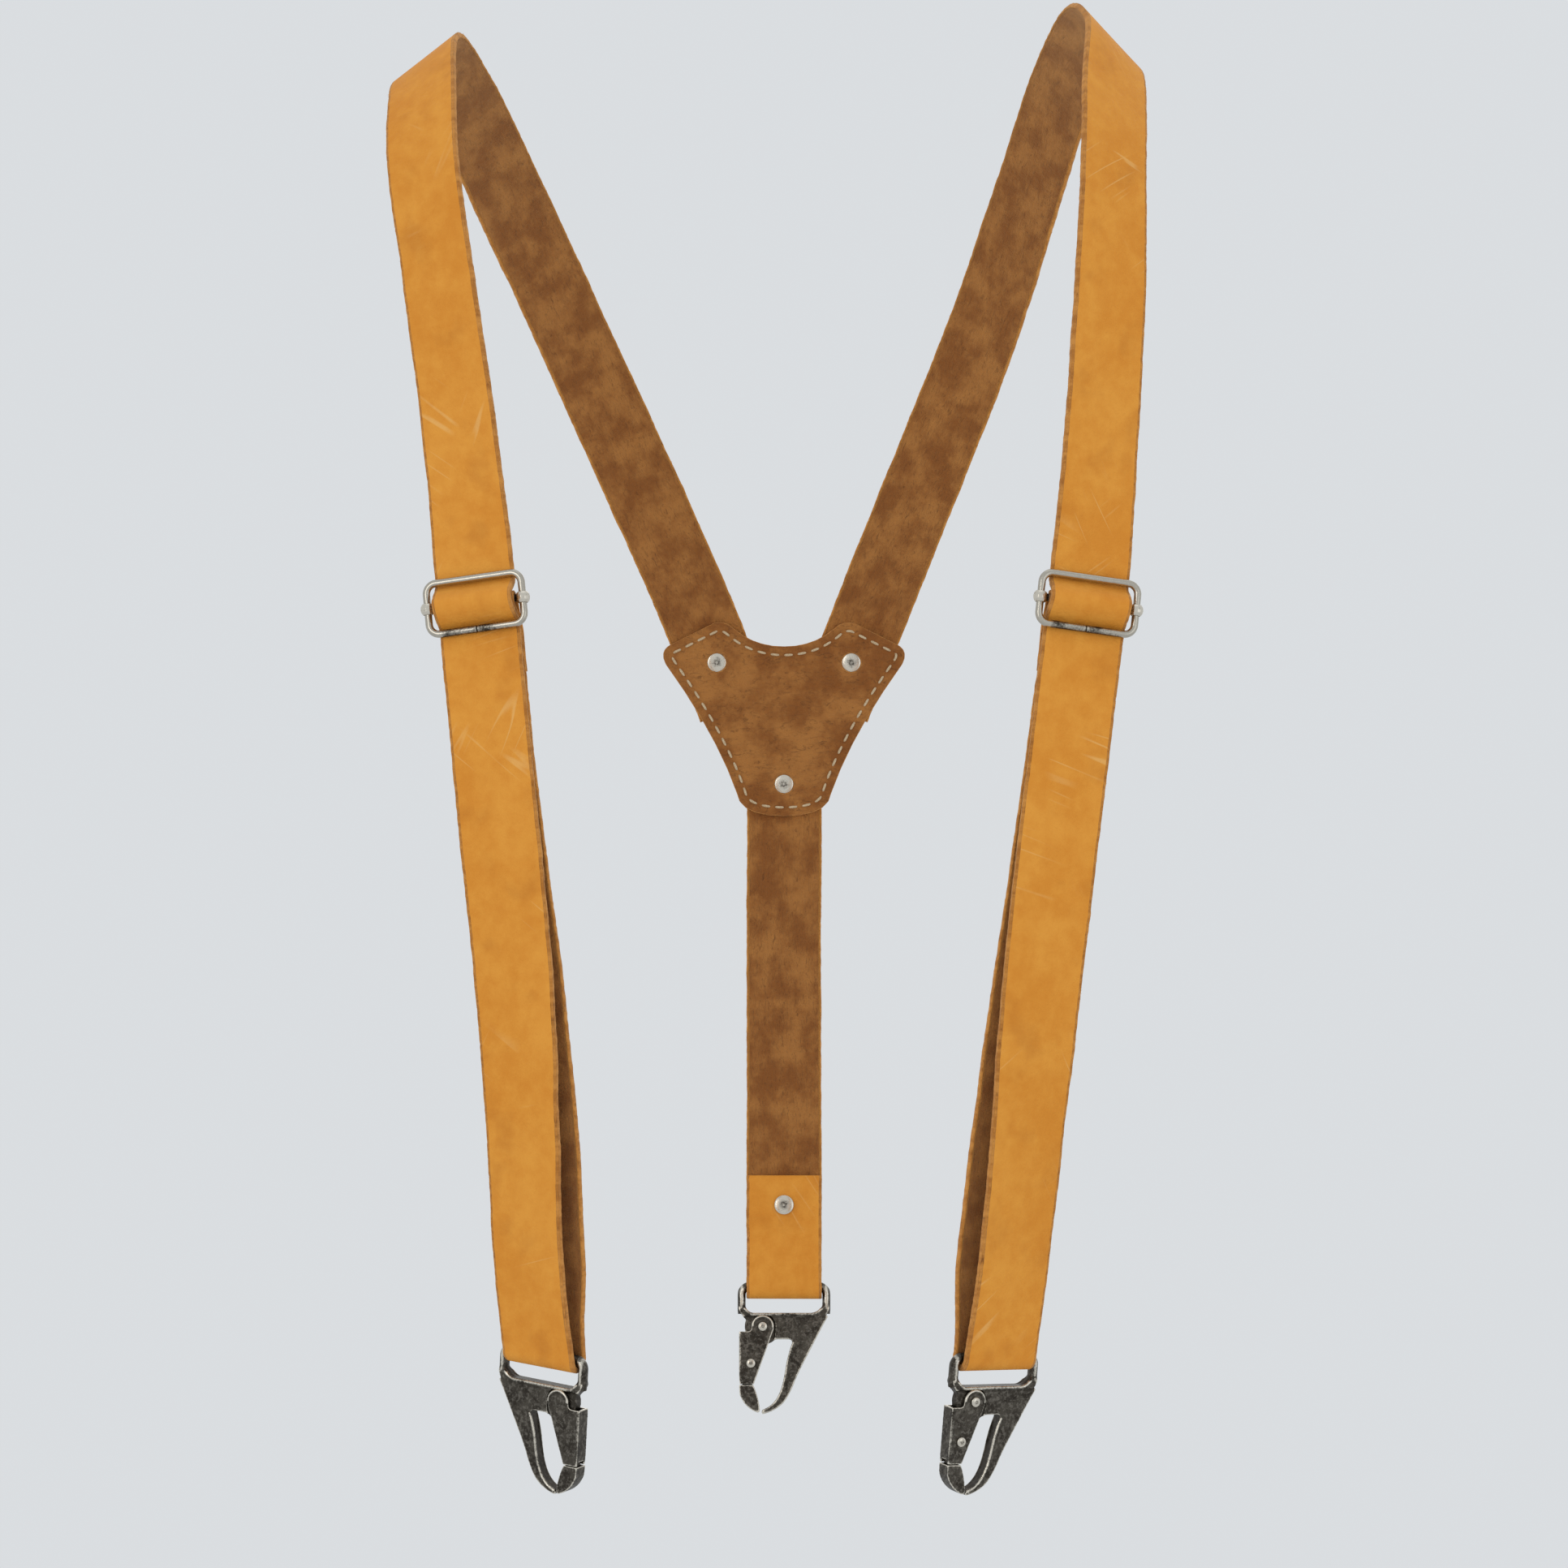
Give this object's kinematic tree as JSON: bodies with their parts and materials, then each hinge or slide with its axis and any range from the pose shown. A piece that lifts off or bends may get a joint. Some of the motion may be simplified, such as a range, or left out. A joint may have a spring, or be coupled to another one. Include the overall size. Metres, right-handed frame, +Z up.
{
  "type": "suspenders",
  "caption": "Leather Y-back suspenders with sliding wire adjusters and sprung belt-loop hooks, shaped as worn over the shoulders.",
  "frame": {"origin": "midway between the two shoulder crests, where the straps rest on the shoulders", "axes": "+Z up, the front straps face -Y, +X is the wearer's left"},
  "size_m": [0.2439, 0.2336, 0.475],
  "materials": {
    "leather": "matte honey-tan full-grain leather with a dry nubuck-like surface and raw edges",
    "suede": "rough rust-brown flesh side",
    "aged_nickel": "antique nickel, dark in the flats and bright on worn edges",
    "rivet_metal": "worn nickel",
    "spring_steel": "dull spring steel"
  },
  "bodies": {
    "harness": {"shoulder_strap_left": "leather", "shoulder_strap_right": "leather", "strap_travel_left": "leather", "strap_travel_right": "leather", "junction_patch_outer": "leather", "junction_patch_lining": "suede", "patch_rivet_left": "rivet_metal", "patch_rivet_right": "rivet_metal", "patch_rivet_rear": "rivet_metal", "rear_strap": "leather", "rear_loop_rivet": "rivet_metal"},
    "adjuster_left": {"adjuster_bar_left": "aged_nickel", "strap_front_ply_left": "leather", "strap_back_ply_left": "suede", "strap_end_rivet_left": "rivet_metal"},
    "adjuster_wire_left": {"adjuster_frame_left": "aged_nickel"},
    "strap_end_left": {"strap_fold_left": "leather"},
    "adjuster_right": {"adjuster_bar_right": "aged_nickel", "strap_front_ply_right": "leather", "strap_back_ply_right": "suede", "strap_end_rivet_right": "rivet_metal"},
    "adjuster_wire_right": {"adjuster_frame_right": "aged_nickel"},
    "strap_end_right": {"strap_fold_right": "leather"},
    "hook_left": {"hook_body_left": "aged_nickel", "gate_pivot_left": "rivet_metal", "gate_spring_left": "spring_steel"},
    "gate_left": {"gate_lever_left": "aged_nickel", "gate_jaw_left": "aged_nickel", "jaw_rivet_left": "rivet_metal"},
    "hook_right": {"hook_body_right": "aged_nickel", "gate_pivot_right": "rivet_metal", "gate_spring_right": "spring_steel"},
    "gate_right": {"gate_lever_right": "aged_nickel", "gate_jaw_right": "aged_nickel", "jaw_rivet_right": "rivet_metal"},
    "hook_rear": {"hook_body_rear": "aged_nickel", "gate_pivot_rear": "rivet_metal", "gate_spring_rear": "spring_steel"},
    "gate_rear": {"gate_lever_rear": "aged_nickel", "gate_jaw_rear": "aged_nickel", "jaw_rivet_rear": "rivet_metal"}
  },
  "joints": [
    {"name": "adjuster_slide_left", "type": "slide", "parent": "harness", "child": "adjuster_left", "axis": [-0.0916, 0.1506, 0.9844], "range_m": [-0.06, 0.06], "deforming": ["strap_travel_left", "strap_front_ply_left", "strap_back_ply_left"]},
    {"name": "frame_shift_left", "type": "slide", "parent": "adjuster_left", "child": "adjuster_wire_left", "axis": [-0.0916, 0.1506, 0.9844], "range_m": [-0.001, 0.001]},
    {"name": "loop_follow_left", "type": "slide", "parent": "adjuster_left", "child": "strap_end_left", "axis": [-0.0916, 0.1506, 0.9844], "range_m": [-0.03, 0.03], "deforming": ["strap_front_ply_left", "strap_back_ply_left"]},
    {"name": "adjuster_slide_right", "type": "slide", "parent": "harness", "child": "adjuster_right", "axis": [0.1131, 0.1529, 0.9817], "range_m": [-0.06, 0.06], "deforming": ["strap_travel_right", "strap_front_ply_right", "strap_back_ply_right"]},
    {"name": "frame_shift_right", "type": "slide", "parent": "adjuster_right", "child": "adjuster_wire_right", "axis": [0.1131, 0.1529, 0.9817], "range_m": [-0.001, 0.001]},
    {"name": "loop_follow_right", "type": "slide", "parent": "adjuster_right", "child": "strap_end_right", "axis": [0.1131, 0.1529, 0.9817], "range_m": [-0.03, 0.03], "deforming": ["strap_front_ply_right", "strap_back_ply_right"]},
    {"name": "hook_swing_left", "type": "hinge", "parent": "strap_end_left", "child": "hook_left", "pos_m": [-0.07392, -0.10568, -0.41166], "axis": [0.8596, -0.4963, -0.1219], "range_deg": [-40, 40]},
    {"name": "gate_hinge_left", "type": "hinge", "parent": "hook_left", "child": "gate_left", "pos_m": [-0.06845, -0.10718, -0.42606], "axis": [-0.5083, -0.8549, -0.104], "range_deg": [0, 25], "stiffness_Nm_per_rad": 0.03, "springref_deg": -20.05, "deforming": ["gate_spring_left"]},
    {"name": "hook_swing_right", "type": "hinge", "parent": "strap_end_right", "child": "hook_right", "pos_m": [0.06497, -0.10566, -0.41262], "axis": [-0.8657, -0.4998, 0.0262], "range_deg": [-40, 40]},
    {"name": "gate_hinge_right", "type": "hinge", "parent": "hook_right", "child": "gate_right", "pos_m": [0.05763, -0.10805, -0.42603], "axis": [-0.4939, 0.8616, 0.1167], "range_deg": [0, 25], "stiffness_Nm_per_rad": 0.03, "springref_deg": -20.05, "deforming": ["gate_spring_right"]},
    {"name": "hook_swing_rear", "type": "hinge", "parent": "harness", "child": "hook_rear", "pos_m": [0, 0.089, -0.406], "axis": [-1, 0, 0], "range_deg": [-40, 40]},
    {"name": "gate_hinge_rear", "type": "hinge", "parent": "hook_rear", "child": "gate_rear", "pos_m": [-0.0072, 0.08764, -0.41963], "axis": [0, 0.995, -0.0995], "range_deg": [0, 25], "stiffness_Nm_per_rad": 0.03, "springref_deg": -20.05, "deforming": ["gate_spring_rear"]}
  ],
  "couplings": [
    {"joint": "loop_follow_left", "follows": "adjuster_slide_left", "ratio": -0.5},
    {"joint": "loop_follow_right", "follows": "adjuster_slide_right", "ratio": -0.5}
  ]
}
